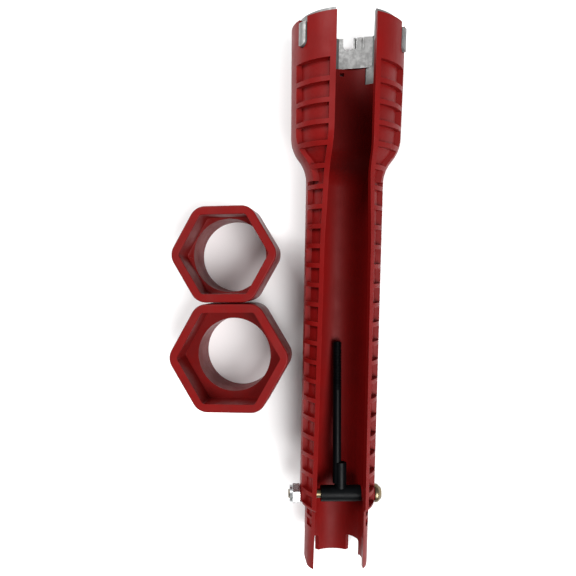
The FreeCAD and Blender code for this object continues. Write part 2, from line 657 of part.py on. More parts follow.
def lying_place():
    """The handle on its back: it rests on the tube's start and on the back of the head."""
    rise = value("head_back_radius - tube_radius")
    run = value("head_start - tube_start - shoulder_round")
    pitch = math.atan2(rise, run)
    contact = value("tube_start + shoulder_round")
    height = value("tube_radius") * math.cos(pitch) - contact * math.sin(pitch)
    turn = Rotation(Vector(1, 0, 0), math.degrees(pitch))
    turn = turn.multiply(Rotation(Vector(0, 1, 0), value("lie_roll")))
    turn = turn.multiply(Rotation(Vector(1, 0, 0), -90))
    return Placement(Vector(0, 0, height), turn)


def stowed_rod_angle():
    """The angle at which the rod's tip is just clear of the channel's back."""
    drop = value("channel_radius - thread_radius - rod_clearance")
    return math.degrees(math.asin(drop / value("rod_reach")))


def place_all(pieces):
    lying = lying_place()
    on_screw = Vector(0, 0, value("screw_height"))
    towards_head = Placement(on_screw, Rotation(Vector(0, 1, 0), 90))
    towards_nut = Placement(on_screw, Rotation(Vector(0, 1, 0), -90))
    slid_along = on_screw + Vector(value("tee_shift"), 0, 0)
    hinged = Placement(slid_along, Rotation(Vector(1, 0, 0), -stowed_rod_angle()))
    turn = Rotation(Vector(0, 0, 1), value("socket_turn"))
    places = {
        "channel_handle": lying,
        "jaw_insert": lying,
        "pivot_screw": lying.multiply(towards_head),
        "lock_nut": lying.multiply(towards_nut),
        "nut_locking_ring": lying.multiply(towards_nut),
        "pivot_tee": lying.multiply(hinged),
        "threaded_rod": lying.multiply(hinged),
        "small_hex_socket": Placement(Vector(value("small_x"), value("small_y"), 0), turn),
        "large_hex_socket": Placement(Vector(value("large_x"), value("large_y"), 0), turn),
    }
    for label, piece in pieces.items():
        piece.Label = label
        piece.Placement = places[label]
    doc.recompute()
    # The origin is on the table, under the middle of everything that lies there.
    whole = FreeCAD.BoundBox()
    for piece in pieces.values():
        whole.add(piece.Shape.optimalBoundingBox())
    to_middle = Vector(-whole.Center.x, -whole.Center.y, -whole.ZMin)
    for piece in pieces.values():
        piece.Placement = Placement(to_middle, Rotation()).multiply(piece.Placement)
    doc.recompute()
    hinge = pieces["pivot_tee"].Placement
    print("origin moved by", to_middle)
    print("hinge at", hinge.Base, "along", hinge.Rotation.multVec(Vector(1, 0, 0)))
    print("handle axis from", lying.Base + to_middle, "along", lying.Rotation.multVec(Vector(0, 0, 1)))


def check_and_write(pieces):
    """Every object has to be sound before anything is written."""
    for item in doc.Objects:
        if "Invalid" in item.State or "Error" in item.State:
            raise RuntimeError(f"{item.Name} could not be built: {item.State}")
    for label, piece in pieces.items():
        if piece.Shape.isNull() or not piece.Shape.isValid() or len(piece.Shape.Solids) != 1:
            raise RuntimeError(f"{label} is not one sound solid")
    os.makedirs("parts", exist_ok=True)
    for label, piece in pieces.items():
        piece.Shape.exportStep(f"parts/{label}.step")
        extent = piece.Shape.optimalBoundingBox()
        print(f"{label}: {piece.Shape.Volume / 1000:.2f} cm3, "
              f"{extent.XLength:.1f} x {extent.YLength:.1f} x {extent.ZLength:.1f} mm")


pieces = {
    "channel_handle": make_handle(),
    "jaw_insert": make_insert(),
    "pivot_screw": make_screw(),
    "lock_nut": make_nut(),
    "nut_locking_ring": make_ring(),
    "pivot_tee": make_tee(),
    "threaded_rod": make_rod(),
    "small_hex_socket": make_socket("small", "small_flats"),
    "large_hex_socket": make_socket("large", "large_flats"),
}
doc.recompute()
place_all(pieces)
check_and_write(pieces)
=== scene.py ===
# %% [markdown]
# # A basin wrench and its two loose sockets
#
# The tool is one long C-shaped handle moulded in red nylon, with a cast aluminium ring pushed
# into its head, a screw across its tail that carries a black hinged rod, and two loose hexagonal
# sockets that stand beside it. The exact solids come from the CAD model and are loaded as a fixed
# frame. Blender adds what a solid doesn't have: rounded edges, a real screw thread, and the
# finishes. The solids could be rebuilt by hand, but then they would no longer match the joints,
# so each one is kept and dressed.

import json
import math

import bmesh
import bpy
from mathutils import Matrix, Vector


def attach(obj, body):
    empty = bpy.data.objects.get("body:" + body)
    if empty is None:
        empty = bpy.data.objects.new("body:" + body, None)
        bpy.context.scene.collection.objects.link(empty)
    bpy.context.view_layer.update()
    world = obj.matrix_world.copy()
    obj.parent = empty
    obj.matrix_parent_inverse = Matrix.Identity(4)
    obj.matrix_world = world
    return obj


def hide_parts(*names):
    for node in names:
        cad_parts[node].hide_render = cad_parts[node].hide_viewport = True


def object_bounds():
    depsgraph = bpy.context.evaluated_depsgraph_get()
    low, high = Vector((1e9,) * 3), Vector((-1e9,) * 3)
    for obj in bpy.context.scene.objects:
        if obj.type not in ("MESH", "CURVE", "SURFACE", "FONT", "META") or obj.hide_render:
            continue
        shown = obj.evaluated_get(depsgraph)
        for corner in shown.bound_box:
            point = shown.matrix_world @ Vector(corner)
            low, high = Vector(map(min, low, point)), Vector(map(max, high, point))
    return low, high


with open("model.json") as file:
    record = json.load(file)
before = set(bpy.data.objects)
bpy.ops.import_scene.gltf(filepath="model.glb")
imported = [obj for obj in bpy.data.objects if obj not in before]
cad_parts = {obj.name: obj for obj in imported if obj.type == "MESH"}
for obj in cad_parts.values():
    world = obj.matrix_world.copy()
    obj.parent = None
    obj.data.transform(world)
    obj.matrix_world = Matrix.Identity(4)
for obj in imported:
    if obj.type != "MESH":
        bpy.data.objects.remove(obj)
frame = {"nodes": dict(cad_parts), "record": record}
nodes = frame["nodes"]
cad_low, cad_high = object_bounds()
MM = 0.001
print("solids:", ", ".join(sorted(nodes)))
print("size in mm:", [round(side / MM, 1) for side in cad_high - cad_low])

# %% [markdown]
# ## Where the viewer stands
#
# The tool lies on a table and is looked at from straight above, a little off its middle, from
# about a third of a metre. That is close for an object this long, so the view is strongly
# in perspective: the side walls of the sockets lean outwards. A long lens would flatten them,
# so the camera keeps its short distance and a wide lens. Its turn is given as three small
# angles, in the order in which a hand would level it.

# %% Camera
VIEW_PLACE = Vector((0.03401, 0.01083, 0.32179))
VIEW_TURNS = (("Z", 1.438), ("X", -1.008), ("Y", 6.303))
SENSOR_WIDTH = 36.0
LENS = 35.316
NEAR_CLIP = 0.01
FAR_CLIP = 20


def camera_turn(turns):
    """One rotation from turns in degrees, the first of them outermost."""
    rotation = Matrix.Identity(4)
    for axis, degrees in turns:
        rotation = rotation @ Matrix.Rotation(math.radians(degrees), 4, axis)
    return rotation


camera_data = bpy.data.cameras.new("bench_camera")
camera_data.sensor_width = SENSOR_WIDTH
camera_data.lens = LENS
camera_data.clip_start = NEAR_CLIP
camera_data.clip_end = FAR_CLIP
camera = bpy.data.objects.new("bench_camera", camera_data)
camera.matrix_world = Matrix.Translation(VIEW_PLACE) @ camera_turn(VIEW_TURNS)
bpy.context.scene.collection.objects.link(camera)
bpy.context.scene.camera = camera
print("camera height in mm:", round(VIEW_PLACE.z / MM, 1))

# %% [markdown]
# ## Table and light
#
# The table is a plain pale sheet. The light is one large soft sheet above, which gives the broad
# grey sheen that runs down the inside of the channel, a smaller one from the head's side that
# draws the ribs, and a dim pale surrounding that fills the shadows. Past the table's edge the
# viewer sees that surrounding as plain white, though it lights the tool only dimly. A single lamp
# would be simpler, but it would cut hard black shadows into the deep channel.

# %% Table
TABLE_SIDE = 3.0


def flat_sheet(name, side):
    """A square sheet on the floor, centred under the tool."""
    half = side / 2
    mesh = bpy.data.meshes.new(name)
    corners = [(-half, -half, 0), (half, -half, 0), (half, half, 0), (-half, half, 0)]
    mesh.from_pydata(corners, [], [(0, 1, 2, 3)])
    sheet = bpy.data.objects.new(name, mesh)
    bpy.context.scene.collection.objects.link(sheet)
    return sheet


table = flat_sheet("table", TABLE_SIDE)
print("table side in m:", TABLE_SIDE)

# %% Soft sheets of light
OVERHEAD_OFFSET = Vector((0.5, -0.35, 0.9))
OVERHEAD_SIDE = 0.7
OVERHEAD_WATTS = 17.0
HEAD_LIGHT_OFFSET = Vector((-0.6, 0.6, 0.8))
HEAD_LIGHT_SIDE = 0.5
HEAD_LIGHT_WATTS = 12.0


def soft_sheet_light(name, place, target, size, power):
    """A square sheet of light that faces its target."""
    data = bpy.data.lights.new(name, "AREA")
    data.shape = "SQUARE"
    data.size = size
    data.energy = power
    lamp = bpy.data.objects.new(name, data)
    lamp.location = place
    aim = Vector(target) - Vector(place)
    lamp.rotation_euler = aim.to_track_quat("-Z", "Y").to_euler()
    bpy.context.scene.collection.objects.link(lamp)
    return lamp


middle = (cad_low + cad_high) / 2
overhead = soft_sheet_light(
    "overhead_sheet", middle + OVERHEAD_OFFSET, middle, OVERHEAD_SIDE, OVERHEAD_WATTS)
head_side = soft_sheet_light(
    "head_side_sheet", middle + HEAD_LIGHT_OFFSET, middle, HEAD_LIGHT_SIDE, HEAD_LIGHT_WATTS)
print("lights:", overhead.name, head_side.name)

# %% Surroundings
SKY_COLOUR = (1.0, 1.0, 1.0, 1.0)
SKY_STRENGTH = 0.36


def pale_room():
    """A surrounding that lights dimly, and that the camera sees as white paper."""
    room = bpy.data.worlds.new("pale_room")
    room.use_nodes = True
    tree = room.node_tree
    dim = tree.nodes["Background"]
    dim.inputs["Color"].default_value = SKY_COLOUR
    dim.inputs["Strength"].default_value = SKY_STRENGTH
    paper = tree.nodes.new("ShaderNodeBackground")
    paper.inputs["Color"].default_value = SKY_COLOUR
    seen = tree.nodes.new("ShaderNodeLightPath")
    choice = tree.nodes.new("ShaderNodeMixShader")
    tree.links.new(seen.outputs["Is Camera Ray"], choice.inputs[0])
    tree.links.new(dim.outputs[0], choice.inputs[1])
    tree.links.new(paper.outputs[0], choice.inputs[2])
    tree.links.new(choice.outputs[0], tree.nodes["World Output"].inputs["Surface"])
    return room


bpy.context.scene.world = pale_room()
bpy.context.scene.view_settings.view_transform = "Standard"
print("surroundings:", bpy.context.scene.world.name)

# %% [markdown]
# ## Helpers for finishes
#
# Every finish is built from nodes, so it has detail at any distance and needs no pictures. A few
# small helpers keep that readable: one adds a node and sets its sockets by name, one links or sets
# a single socket, and three add the Math, Map Range and Mix nodes that every finish needs. Two
# more start a node group and place it in a material.

# %% Node helpers


def add_node(tree, kind, place=(0, 0), **settings):
    """A node with its settings; a key that names a socket sets or links that socket."""
    node = tree.nodes.new(kind)
    node.location = place
    for key, setting in settings.items():
        name = key.replace("_", " ")
        if name in node.inputs:
            feed(tree, node.inputs[name], setting)
        else:
            setattr(node, key, setting)
    return node


def feed(tree, socket, source):
    """Links an output to a socket, or sets the socket to a plain value."""
    if isinstance(source, bpy.types.NodeSocket):
        tree.links.new(source, socket)
    else:
        socket.default_value = source


def arithmetic(tree, operation, *terms, place=(0, 0), clamp=False):
    """The result of a Math node."""
    node = add_node(tree, "ShaderNodeMath", place, operation=operation, use_clamp=clamp)
    for socket, term in zip(node.inputs, terms):
        feed(tree, socket, term)
    return node.outputs[0]


def remap(tree, value, low, high, to_low=0.0, to_high=1.0, place=(0, 0)):
    """A value stretched smoothly from one range to another."""
    node = add_node(tree, "ShaderNodeMapRange", place, interpolation_type="SMOOTHSTEP")
    for name, term in (("Value", value), ("From Min", low), ("From Max", high),
                       ("To Min", to_low), ("To Max", to_high)):
        feed(tree, node.inputs[name], term)
    return node.outputs["Result"]


def mixed_colour(tree, share, first, second, place=(0, 0)):
    """Two colours mixed by a share."""
    node = add_node(tree, "ShaderNodeMix", place, data_type="RGBA")
    feed(tree, node.inputs["Factor"], share)
    feed(tree, node.inputs["A"], first)
    feed(tree, node.inputs["B"], second)
    return node.outputs["Result"]


print("node helpers ready")

# %% Group helpers


def start_group(name, inputs, outputs):
    """An empty node group with typed, named sockets."""
    group = bpy.data.node_groups.new(name, "ShaderNodeTree")
    for socket_name, kind, default in inputs:
        socket = group.interface.new_socket(socket_name, in_out="INPUT", socket_type=kind)
        if default is not None:
            socket.default_value = default
    for socket_name, kind in outputs:
        group.interface.new_socket(socket_name, in_out="OUTPUT", socket_type=kind)
    start = group.nodes.new("NodeGroupInput")
    start.location = (-900, 0)
    end = group.nodes.new("NodeGroupOutput")
    end.location = (500, 0)
    return group, start.outputs, end.inputs


def place_group(tree, group, place=(0, 0), **sockets):
    """A group placed in a material, with its own values."""
    node = tree.nodes.new("ShaderNodeGroup")
    node.node_tree = group
    node.location = place
    for key, term in sockets.items():
        feed(tree, node.inputs[key.replace("_", " ")], term)
    return node.outputs


FLOAT = "NodeSocketFloat"
VECTOR = "NodeSocketVector"
print("group helpers ready")

# %% [markdown]
# ## Grain
#
# Moulded nylon copies the eroded skin of its mould: a fine, even pebble a few tenths of a
# millimetre wide, over slow waves where the melt cooled unevenly. Cast metal has the same two
# layers, only coarser and rougher. One group makes both: a fine noise, a coarser one and a slow
# one, with sizes given in real millimetres so that it is right on every piece.

# %% Grain group
COARSE_TO_FINE = 0.23
PATCH_LOW, PATCH_HIGH = 0.3, 0.7


def make_grain_group():
    group, given, out = start_group(
        "surface_grain",
        [("Position", VECTOR, None), ("Grain Size", FLOAT, 0.4), ("Coarse Share", FLOAT, 0.3),
         ("Patch Size", FLOAT, 12.0)],
        [("Height", FLOAT), ("Patches", FLOAT)])
    per_metre = arithmetic(group, "DIVIDE", 1 / MM, given["Grain Size"], place=(-700, 200))
    fine = add_node(group, "ShaderNodeTexNoise", (-450, 250), Vector=given["Position"],
                    Scale=per_metre, Detail=3.0, Roughness=0.55)
    coarse_scale = arithmetic(group, "MULTIPLY", per_metre, COARSE_TO_FINE,
                              place=(-700, 0))
    coarse = add_node(group, "ShaderNodeTexNoise", (-450, 0), Vector=given["Position"],
                      Scale=coarse_scale, Detail=2.0, Roughness=0.5)
    height = add_node(group, "ShaderNodeMix", (-150, 200), data_type="FLOAT")
    feed(group, height.inputs["Factor"], given["Coarse Share"])
    feed(group, height.inputs["A"], fine.outputs["Fac"])
    feed(group, height.inputs["B"], coarse.outputs["Fac"])
    patch_scale = arithmetic(group, "DIVIDE", 1 / MM, given["Patch Size"], place=(-700, -250))
    patches = add_node(group, "ShaderNodeTexNoise", (-450, -250), Vector=given["Position"],
                       Scale=patch_scale, Detail=4.0, Roughness=0.6)
    feed(group, out["Height"], height.outputs["Result"])
    feed(group, out["Patches"],
         remap(group, patches.outputs["Fac"], PATCH_LOW, PATCH_HIGH, place=(-150, -250)))
    return group


surface_grain = make_grain_group()
print("group:", surface_grain.name)

# %% [markdown]
# ## Rubbed edges
#
# Handling polishes an edge and lightens it: nylon bruises to a paler red, and black oxide wears
# to a lighter grey. The mask compares the true surface direction with one that is
# rounded over a small radius. Where the two differ there is an edge. A noise breaks it up, because
# wear is never an even outline.

# %% Edge wear group
BEVEL_SAMPLES = 6
EDGE_LOW, EDGE_HIGH = 0.02, 0.16
WEAR_LOW, WEAR_HIGH = 0.38, 0.62


def make_edge_group():
    group, given, out = start_group(
        "rubbed_edges",
        [("Position", VECTOR, None), ("Radius", FLOAT, 0.4), ("Amount", FLOAT, 0.5),
         ("Patch Size", FLOAT, 3.0)],
        [("Mask", FLOAT)])
    radius = arithmetic(group, "MULTIPLY", given["Radius"], MM, place=(-700, 200))
    rounded = add_node(group, "ShaderNodeBevel", (-520, 200), samples=BEVEL_SAMPLES,
                       Radius=radius)
    surface = add_node(group, "ShaderNodeNewGeometry", (-520, 0))
    likeness = add_node(group, "ShaderNodeVectorMath", (-330, 150), operation="DOT_PRODUCT")
    feed(group, likeness.inputs[0], rounded.outputs["Normal"])
    feed(group, likeness.inputs[1], surface.outputs["Normal"])
    turned = arithmetic(group, "SUBTRACT", 1.0, likeness.outputs["Value"], place=(-150, 150))
    edge = remap(group, turned, EDGE_LOW, EDGE_HIGH, place=(20, 150))
    patch_scale = arithmetic(group, "DIVIDE", 1 / MM, given["Patch Size"], place=(-700, -250))
    patches = add_node(group, "ShaderNodeTexNoise", (-450, -250), Vector=given["Position"],
                       Scale=patch_scale, Detail=4.0, Roughness=0.65)
    broken = remap(group, patches.outputs["Fac"], WEAR_LOW, WEAR_HIGH, place=(-150, -250))
    worn = arithmetic(group, "MULTIPLY", edge, broken, place=(200, 50))
    mask = arithmetic(group, "MULTIPLY", worn, given["Amount"], place=(350, 50), clamp=True)
    feed(group, out["Mask"], mask)
    return group


rubbed_edges = make_edge_group()
print("group:", rubbed_edges.name)

# %% [markdown]
# ## Scuffs and dust
#
# A hand tool slides in and out of a bag, so its finish carries fine scuffs in all directions, and
# pale dust stays in patches on faces that look up. Scuffs are noise pulled out long in two
# crossing directions. The dust mask multiplies a soft noise by how far a face looks up.

# %% Scuff group
STREAK_TILT = (0.3, 0.2)
STREAKS = ((0.5, (1.0, 0.05, 1.0)), (-0.9, (1.0, 0.07, 0.6)))
STREAK_LOW, STREAK_HIGH = 0.62, 0.72


def make_scuff_group():
    group, given, out = start_group(
        "fine_scuffs", [("Position", VECTOR, None), ("Spacing", FLOAT, 1.0)], [("Mask", FLOAT)])
    scale = arithmetic(group, "DIVIDE", 1 / MM, given["Spacing"], place=(-700, 0))
    streaks = []
    for number, (turn, stretch) in enumerate(STREAKS):
        height = 200 - 350 * number
        turned = add_node(group, "ShaderNodeMapping", (-500, height), Vector=given["Position"],
                          Rotation=(*STREAK_TILT, turn), Scale=stretch)
        noise = add_node(group, "ShaderNodeTexNoise", (-300, height),
                         Vector=turned.outputs["Vector"], Scale=scale, Detail=2.0)
        streaks.append(
            remap(group, noise.outputs["Fac"], STREAK_LOW, STREAK_HIGH, place=(-100, height)))
    feed(group, out["Mask"], arithmetic(group, "MAXIMUM", *streaks, place=(200, 0)))
    return group


fine_scuffs = make_scuff_group()
print("group:", fine_scuffs.name)

# %% Dust group
SLOPE_LOW, SLOPE_HIGH = 0.2, 0.95
DUST_LOW, DUST_HIGH = 0.42, 0.68


def make_dust_group():
    group, given, out = start_group(
        "settled_dust", [("Position", VECTOR, None), ("Patch Size", FLOAT, 9.0),
                         ("Amount", FLOAT, 0.2)], [("Mask", FLOAT)])
    surface = add_node(group, "ShaderNodeNewGeometry", (-700, 200))
    parts = add_node(group, "ShaderNodeSeparateXYZ", (-500, 200), Vector=surface.outputs["Normal"])
    upwards = remap(group, parts.outputs["Z"], SLOPE_LOW, SLOPE_HIGH, place=(-300, 200))
    scale = arithmetic(group, "DIVIDE", 1 / MM, given["Patch Size"], place=(-700, -100))
    noise = add_node(group, "ShaderNodeTexNoise", (-500, -100), Vector=given["Position"],
                     Scale=scale, Detail=6.0, Roughness=0.7)
    patch = remap(group, noise.outputs["Fac"], DUST_LOW, DUST_HIGH, place=(-300, -100))
    both = arithmetic(group, "MULTIPLY", upwards, patch, place=(0, 50))
    feed(group, out["Mask"],
         arithmetic(group, "MULTIPLY", both, given["Amount"], place=(200, 50), clamp=True))
    return group


settled_dust = make_dust_group()
print("group:", settled_dust.name)

# %% [markdown]
# ## A recipe for every finish
#
# The finishes of this tool differ in colour, gloss and grain, but are built up in the same order:
# a base colour with slow patches, paler rubbed edges, dust on top, gloss that varies with the
# patches and the scuffs, and a bump from the grain. So one function lays out that recipe in a
# material, with the numbers of each finish passed in. Values that are the same all over, such as
# the index of refraction, are set on the shader itself.

# %% Finish recipe
DUST_DULLING = 0.25


def finish_of(name, colour, patch_colour, worn_colour, dust_colour, *, metallic, roughness,
              rough_spread, grain_size, coarse, patch_size, bump_mm, edge_radius, edge_wear,
              scuff_spacing, scuff_rise, dust, **constants):
    """A material with patches, rubbed edges, dust, scuffs and grain."""
    material = bpy.data.materials.new(name)
    material.use_nodes = True
    tree = material.node_tree
    shader = tree.nodes["Principled BSDF"]
    here = add_node(tree, "ShaderNodeTexCoord", (-1300, 0)).outputs["Object"]
    grain = place_group(tree, surface_grain, (-1000, 300), Position=here, Grain_Size=grain_size,
                        Coarse_Share=coarse, Patch_Size=patch_size)
    edges = place_group(tree, rubbed_edges, (-1000, 0), Position=here, Radius=edge_radius,
                        Amount=edge_wear)
    scuffs = place_group(tree, fine_scuffs, (-1000, -250), Position=here, Spacing=scuff_spacing)
    dusty = place_group(tree, settled_dust, (-1000, -450), Position=here, Amount=dust)
    skin = mixed_colour(tree, grain["Patches"], colour, patch_colour, place=(-700, 300))
    rubbed = mixed_colour(tree, edges["Mask"], skin, worn_colour, place=(-500, 250))
    covered = mixed_colour(tree, dusty["Mask"], rubbed, dust_colour, place=(-300, 200))
    feed(tree, shader.inputs["Base Color"], covered)
    gloss = remap(tree, grain["Patches"], 0.0, 1.0, roughness - rough_spread,
                  roughness + rough_spread, place=(-700, 0))
    scuffed = arithmetic(tree, "MULTIPLY_ADD", scuffs["Mask"], scuff_rise, gloss, place=(-500, -50))
    dulled = arithmetic(tree, "MULTIPLY_ADD", dusty["Mask"], DUST_DULLING, scuffed,
                        place=(-300, -50), clamp=True)
    feed(tree, shader.inputs["Roughness"], dulled)
    bump = add_node(tree, "ShaderNodeBump", (-300, -300), Strength=1.0, Distance=bump_mm * MM,
                    Height=grain["Height"])
    feed(tree, shader.inputs["Normal"], bump.outputs["Normal"])
    shader.inputs["Metallic"].default_value = metallic
    for key, constant in constants.items():
        shader.inputs[key.replace("_", " ")].default_value = constant
    print("finish:", name)
    return material


print("finish recipe ready")

# %% [markdown]
# ## The finishes
#
# Red nylon, lightly bruised along its ribs. The same nylon on the sockets, which have been handled
# less. Sand-grained cast aluminium. A screw in yellow zinc, a nut in bright zinc that holds a
# milky nylon ring, and a tee and rod in black oxide that is worn a little greyer on its ridges.
# The table has a finish from the same recipe, with no wear and no dust.

# %% Nylon finishes
red_nylon = finish_of(
    "red moulded nylon", (0.152, 0.0036, 0.0033, 1), (0.132, 0.0029, 0.0026, 1),
    (0.225, 0.012, 0.011, 1), (0.175, 0.020, 0.018, 1),
    metallic=0.0, roughness=0.44, rough_spread=0.05, grain_size=0.5, coarse=0.35, patch_size=14.0,
    bump_mm=0.035, edge_radius=0.45, edge_wear=0.55, scuff_spacing=1.1, scuff_rise=0.08,
    dust=0.07, IOR=1.5, Specular_IOR_Level=0.09)
socket_nylon = finish_of(
    "red socket nylon", (0.138, 0.0036, 0.0033, 1), (0.117, 0.0029, 0.0027, 1),
    (0.200, 0.012, 0.011, 1), (0.165, 0.030, 0.026, 1),
    metallic=0.0, roughness=0.40, rough_spread=0.05, grain_size=0.45, coarse=0.3, patch_size=11.0,
    bump_mm=0.03, edge_radius=0.4, edge_wear=0.4, scuff_spacing=1.3, scuff_rise=0.07,
    dust=0.08, IOR=1.5, Specular_IOR_Level=0.12)
ring_nylon = finish_of(
    "milky locking nylon", (0.50, 0.52, 0.50, 1), (0.44, 0.46, 0.44, 1), (0.6, 0.6, 0.6, 1),
    (0.5, 0.5, 0.48, 1), metallic=0.0, roughness=0.5, rough_spread=0.04, grain_size=0.3,
    coarse=0.2, patch_size=4.0, bump_mm=0.01, edge_radius=0.2, edge_wear=0.2, scuff_spacing=1.0,
    scuff_rise=0.05, dust=0.1)

# %% Metal finishes
cast_aluminium = finish_of(
    "cast aluminium", (0.225, 0.225, 0.222, 1), (0.175, 0.175, 0.173, 1), (0.46, 0.46, 0.46, 1),
    (0.22, 0.215, 0.205, 1), metallic=0.75, roughness=0.50, rough_spread=0.05, grain_size=0.5,
    coarse=0.4, patch_size=2.2, bump_mm=0.09, edge_radius=0.35, edge_wear=0.8, scuff_spacing=0.8,
    scuff_rise=-0.08, dust=0.15)
yellow_zinc = finish_of(
    "yellow zinc", (0.17, 0.128, 0.066, 1), (0.13, 0.103, 0.064, 1), (0.36, 0.31, 0.23, 1),
    (0.4, 0.36, 0.28, 1), metallic=1.0, roughness=0.30, rough_spread=0.05, grain_size=0.3,
    coarse=0.3, patch_size=2.5, bump_mm=0.012, edge_radius=0.25, edge_wear=0.6, scuff_spacing=0.5,
    scuff_rise=0.08, dust=0.2)
bright_zinc = finish_of(
    "bright zinc", (0.56, 0.57, 0.57, 1), (0.45, 0.46, 0.47, 1), (0.78, 0.78, 0.79, 1),
    (0.45, 0.44, 0.42, 1), metallic=1.0, roughness=0.25, rough_spread=0.05, grain_size=0.3,
    coarse=0.3, patch_size=2.5, bump_mm=0.01, edge_radius=0.25, edge_wear=0.5, scuff_spacing=0.5,
    scuff_rise=0.08, dust=0.15)
black_oxide = finish_of(
    "black oxide steel", (0.0014, 0.0019, 0.0024, 1), (0.0022, 0.0028, 0.0034, 1),
    (0.015, 0.016, 0.018, 1), (0.004, 0.0039, 0.0037, 1), metallic=0.0, roughness=0.36,
    rough_spread=0.05, grain_size=0.35, coarse=0.3, patch_size=6.0, bump_mm=0.02,
    edge_radius=0.25, edge_wear=0.35, scuff_spacing=0.7, scuff_rise=0.08, dust=0.12,
    IOR=1.5, Specular_IOR_Level=0.07)

# %% Table finish
table_white = finish_of(
    "pale table", (0.92, 0.92, 0.92, 1), (0.91, 0.91, 0.91, 1), (0.92, 0.92, 0.92, 1),
    (0.92, 0.92, 0.92, 1), metallic=0.0, roughness=0.75, rough_spread=0.02, grain_size=1.0,
    coarse=0.3, patch_size=80.0, bump_mm=0.005, edge_radius=0.1, edge_wear=0.0, scuff_spacing=4.0,
    scuff_rise=0.0, dust=0.0)
table.data.materials.append(table_white)

# %% [markdown]
# ## Dressing the solids
#
# A CAD solid arrives as loose triangles with knife-sharp edges. A real moulding has none: each rib
# and rim is rounded by a few tenths of a millimetre, and that rounding is what catches the light.
# The solid's mesh may not be changed, but it may carry modifiers: Weld joins the triangles, Bevel
# rounds every sharp edge, and Weighted Normal keeps the flat faces flat. Each piece gets a rounding
# that suits how it was made.

# %% Dress helper
WELD_DISTANCE = 0.000002
SHARP_DEGREES = 32
FLAT_FACE_WEIGHT = 80


def dress(node_name, material, rounding_mm, segments=2):
    """Gives a CAD node its finish and rounds its sharp edges."""
    piece = nodes[node_name]
    piece.data.materials.clear()
    piece.data.materials.append(material)
    weld = piece.modifiers.new("join", "WELD")
    weld.merge_threshold = WELD_DISTANCE
    bevel = piece.modifiers.new("rounding", "BEVEL")
    bevel.width = rounding_mm * MM
    bevel.segments = segments
    bevel.limit_method = "ANGLE"
    bevel.angle_limit = math.radians(SHARP_DEGREES)
    bevel.use_clamp_overlap = True
    bevel.harden_normals = False
    weighted = piece.modifiers.new("flat_faces", "WEIGHTED_NORMAL")
    weighted.keep_sharp = False
    weighted.weight = FLAT_FACE_WEIGHT
    print(node_name, "rounded by", rounding_mm, "mm")
    return piece


print("edges sharper than", SHARP_DEGREES, "degrees are rounded")

# %% Dress every kept solid
dress("channel_handle", red_nylon, 0.3)
dress("small_hex_socket", socket_nylon, 0.35)
dress("large_hex_socket", socket_nylon, 0.35)
dress("jaw_insert", cast_aluminium, 0.45)
dress("pivot_screw", yellow_zinc, 0.12)
dress("lock_nut", bright_zinc, 0.15)
dress("nut_locking_ring", ring_nylon, 0.1)
dress("pivot_tee", black_oxide, 0.3)

# %% [markdown]
# ## The threaded rod
#
# The rod is plain where it leaves the tee and has a screw thread on its last part. In the CAD model
# the thread is a plain cylinder, so here it is cut for real. A thread could be made by sweeping a
# triangle along a helix, but the ends are then hard to close. A simpler rule makes the whole rod
# from one grid: each point of the grid knows how far round it is and how far along, and the radius
# follows from those two numbers. Geometry Nodes is the right tool, because the shape is a rule.
#
# The rod is laid along the frame's rod_thread mount. That mount lies 1.9 mm to the side of the
# solid's own axis, so this rod sits as far off the middle of its sleeve.

# %% The rule for the rod's radius


def rule_math(tree, operation, *terms):
    """The result of a Math node in a geometry tree."""
    node = tree.nodes.new("ShaderNodeMath")
    node.operation = operation
    for socket, term in zip(node.inputs, terms):
        feed(tree, socket, term)
    return node.outputs[0]


def rod_radius(tree, given, around, along):
    """Plain at first, then a ridge that climbs one pitch a turn, then a bevel at the tip."""
    thread_start = rule_math(tree, "SUBTRACT", given["Length"], given["Thread Length"])
    past_start = rule_math(tree, "SUBTRACT", along, thread_start)
    turns = rule_math(tree, "DIVIDE", past_start, given["Pitch"])
    phase = rule_math(tree, "FRACT", rule_math(tree, "SUBTRACT", turns, around))
    ridge = rule_math(tree, "ABSOLUTE", rule_math(tree, "MULTIPLY_ADD", phase, 2.0, -1.0))
    depth = rule_math(tree, "SUBTRACT", given["Crest Radius"], given["Root Radius"])
    threaded = rule_math(tree, "MULTIPLY_ADD", ridge, depth, given["Root Radius"])
    run_in = tree.nodes.new("ShaderNodeClamp")
    feed(tree, run_in.inputs["Value"], turns)
    plain_share = rule_math(tree, "SUBTRACT", 1.0, run_in.outputs[0])
    plain = rule_math(tree, "MULTIPLY", plain_share, given["Plain Radius"])
    blended = rule_math(tree, "MULTIPLY_ADD", run_in.outputs[0], threaded, plain)
    to_tip = rule_math(tree, "SUBTRACT", given["Length"], along)
    tip_radius = rule_math(tree, "SUBTRACT", given["Crest Radius"], given["Lead-in"])
    bevelled = rule_math(tree, "ADD", tip_radius, to_tip)
    return rule_math(tree, "MINIMUM", blended, bevelled)


print("radius rule ready")

# %% The rod's sizes
ROD_LENGTH = 75.8 * MM
ROD_SIZES = (
    ("Length", ROD_LENGTH),
    ("Thread Length", 26.5 * MM),
    ("Plain Radius", 2.3 * MM),
    ("Crest Radius", 2.5 * MM),
    ("Root Radius", 2.1 * MM),
    ("Pitch", 0.8 * MM),
    ("Lead-in", 0.8 * MM),
)
ROD_COUNTS = (("Rows", 760), ("Sides", 33))
END_ROW = 0.0001
MERGE_DISTANCE = 0.00001


